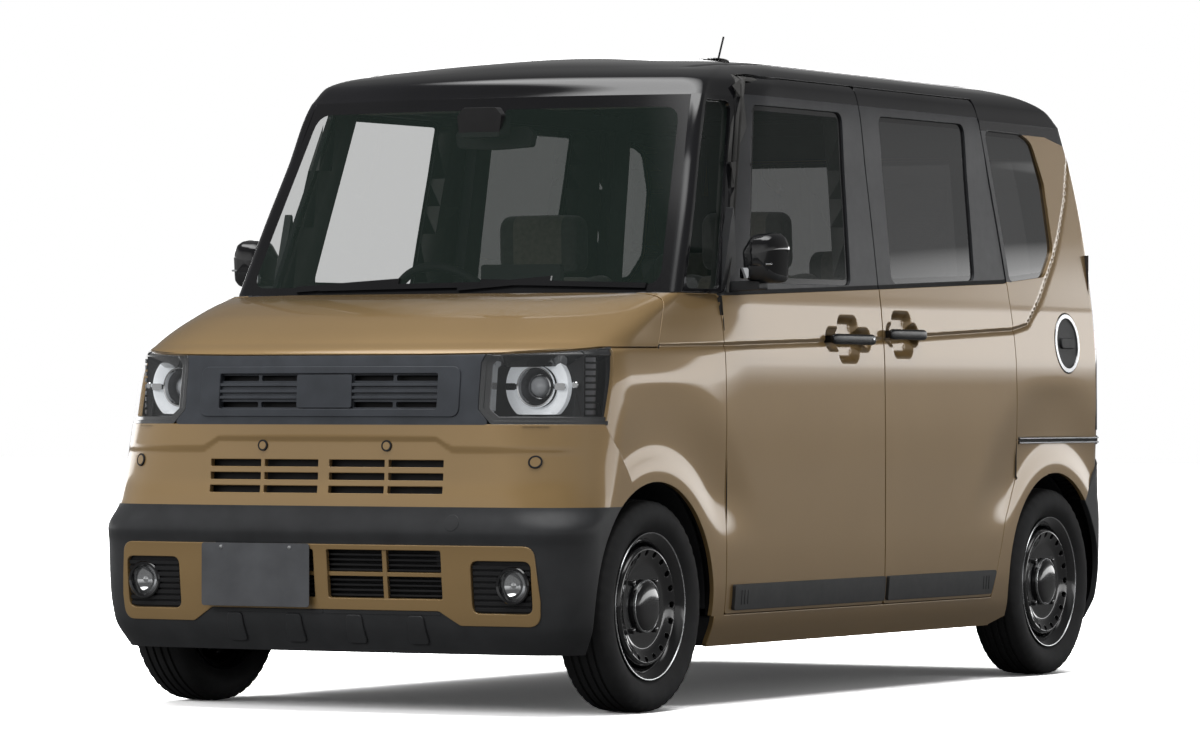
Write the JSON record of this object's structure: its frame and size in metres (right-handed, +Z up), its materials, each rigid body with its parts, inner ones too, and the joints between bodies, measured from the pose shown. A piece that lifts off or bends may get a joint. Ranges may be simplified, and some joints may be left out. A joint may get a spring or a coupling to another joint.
{
  "type": "kei car",
  "caption": "Boxy tall kei car with a sloping clamshell bonnet, hinged front doors, sliding rear doors, a tailgate, steel style wheels and charcoal lower cladding",
  "frame": {"origin": "on the ground under the middle of the body's length and width", "axes": "-Y is the front of the car, +X is its left side, +Z is up"},
  "size_m": [1.7196, 3.395, 1.8853],
  "materials": {
    "body_paint": "satin pearl paint in beige gold",
    "roof_paint": "gloss black paint",
    "structure": "dark primer on pressed steel",
    "cladding": "grained charcoal plastic",
    "grille_plastic": "dark blue grey plastic",
    "clear_glass": "green tinted safety glass",
    "privacy_glass": "dark privacy glass",
    "lamp": "clear lamp cover over bright metal",
    "tail_lamp": "red and clear lamp cover",
    "gloss_trim": "gloss black plastic",
    "seat_fabric": "woven grey brown cloth",
    "dash_plastic": "grained dark grey plastic",
    "tyre": "matt black rubber",
    "wheel_paint": "gloss black painted steel",
    "running_gear": "dark cast and forged iron",
    "engine": "dull cast aluminium",
    "radiator": "finned aluminium",
    "exhaust": "stainless steel",
    "tank": "black moulded plastic"
  },
  "bodies": {
    "body": {"underbody": "structure", "roof_panel": "roof_paint", "windscreen": "clear_glass", "front_bumper": "body_paint", "front_cladding": "cladding", "bumper_insert": "body_paint", "grille": "grille_plastic", "fog_lamps": "lamp", "rear_bumper": "cladding", "tail_lamps": "tail_lamp", "front_arms": "running_gear", "rear_axle": "running_gear", "engine_block": "engine", "radiator": "radiator", "fuel_tank": "tank", "exhaust": "exhaust", "dashboard": "dash_plastic", "rear_seat": "seat_fabric", "side_glass": "privacy_glass", "wipers": "gloss_trim", "antenna": "gloss_trim", "body_side_left": "body_paint", "fender_left": "body_paint", "headlamp_left": "lamp", "sliding_door_left": "body_paint", "sliding_handle_left": "body_paint", "front_seat_left": "seat_fabric", "body_side_right": "body_paint", "fender_right": "body_paint", "headlamp_right": "lamp", "sliding_door_right": "body_paint", "sliding_handle_right": "body_paint", "front_seat_right": "seat_fabric"},
    "door_left": {"front_door_left": "body_paint", "door_glass_left": "clear_glass", "door_mirror_left": "gloss_trim", "door_handle_left": "body_paint"},
    "carrier_left": {"knuckle_left": "running_gear"},
    "roadwheel_front_left": {"wheel_front_left": "wheel_paint", "tyre_front_left": "tyre"},
    "roadwheel_rear_left": {"wheel_rear_left": "wheel_paint", "tyre_rear_left": "tyre"},
    "door_right": {"front_door_right": "body_paint", "door_glass_right": "clear_glass", "door_mirror_right": "gloss_trim", "door_handle_right": "body_paint"},
    "carrier_right": {"knuckle_right": "running_gear"},
    "roadwheel_front_right": {"wheel_front_right": "wheel_paint", "tyre_front_right": "tyre"},
    "roadwheel_rear_right": {"wheel_rear_right": "wheel_paint", "tyre_rear_right": "tyre"},
    "bonnet_panel": {"bonnet": "body_paint"},
    "gate": {"tailgate": "body_paint", "tailgate_glass": "privacy_glass"},
    "lid": {"fuel_lid": "gloss_trim"},
    "steering": {"steering_wheel": "dash_plastic"}
  },
  "joints": [
    {"name": "steer_left", "type": "hinge", "parent": "body", "child": "carrier_left", "pos_m": [0.58337, -1.21, 0.2785], "axis": [-0.1515, 0, 0.9885], "range_deg": [-33, 33]},
    {"name": "spin_front_left", "type": "hinge", "parent": "carrier_left", "child": "roadwheel_front_left", "pos_m": [0.6525, -1.21, 0.2785], "axis": [1, 0, 0], "continuous": true},
    {"name": "spin_rear_left", "type": "hinge", "parent": "body", "child": "roadwheel_rear_left", "pos_m": [0.6525, 1.31, 0.2785], "axis": [1, 0, 0], "continuous": true},
    {"name": "open_door_left", "type": "hinge", "parent": "body", "child": "door_left", "pos_m": [0.738, -0.817, 0.7], "axis": [0, 0, -1], "range_deg": [0, 60]},
    {"name": "steer_right", "type": "hinge", "parent": "body", "child": "carrier_right", "pos_m": [-0.58337, -1.21, 0.2785], "axis": [0.1515, 0, 0.9885], "range_deg": [-33, 33]},
    {"name": "spin_front_right", "type": "hinge", "parent": "carrier_right", "child": "roadwheel_front_right", "pos_m": [-0.6525, -1.21, 0.2785], "axis": [1, 0, 0], "continuous": true},
    {"name": "spin_rear_right", "type": "hinge", "parent": "body", "child": "roadwheel_rear_right", "pos_m": [-0.6525, 1.31, 0.2785], "axis": [1, 0, 0], "continuous": true},
    {"name": "open_door_right", "type": "hinge", "parent": "body", "child": "door_right", "pos_m": [-0.738, -0.817, 0.7], "axis": [0, 0, 1], "range_deg": [0, 60]},
    {"name": "open_bonnet", "type": "hinge", "parent": "body", "child": "bonnet_panel", "pos_m": [0, -1.096, 1.097], "axis": [-1, 0, 0], "range_deg": [0, 48]},
    {"name": "open_tailgate", "type": "hinge", "parent": "body", "child": "gate", "pos_m": [0, 1.45, 1.717], "axis": [1, 0, 0], "range_deg": [0, 75]},
    {"name": "open_fuel_lid", "type": "hinge", "parent": "body", "child": "lid", "pos_m": [0.738, 1.325, 0.99], "axis": [0, 0, -1], "range_deg": [0, 85]},
    {"name": "turn_steering_wheel", "type": "hinge", "parent": "body", "child": "steering", "pos_m": [-0.34, -0.441, 1.038], "axis": [0, 0.8829, 0.4695], "range_deg": [-495, 495]}
  ],
  "couplings": [
    {"joint": "steer_right", "follows": "steer_left", "ratio": 1},
    {"joint": "turn_steering_wheel", "follows": "steer_left", "ratio": -15}
  ]
}
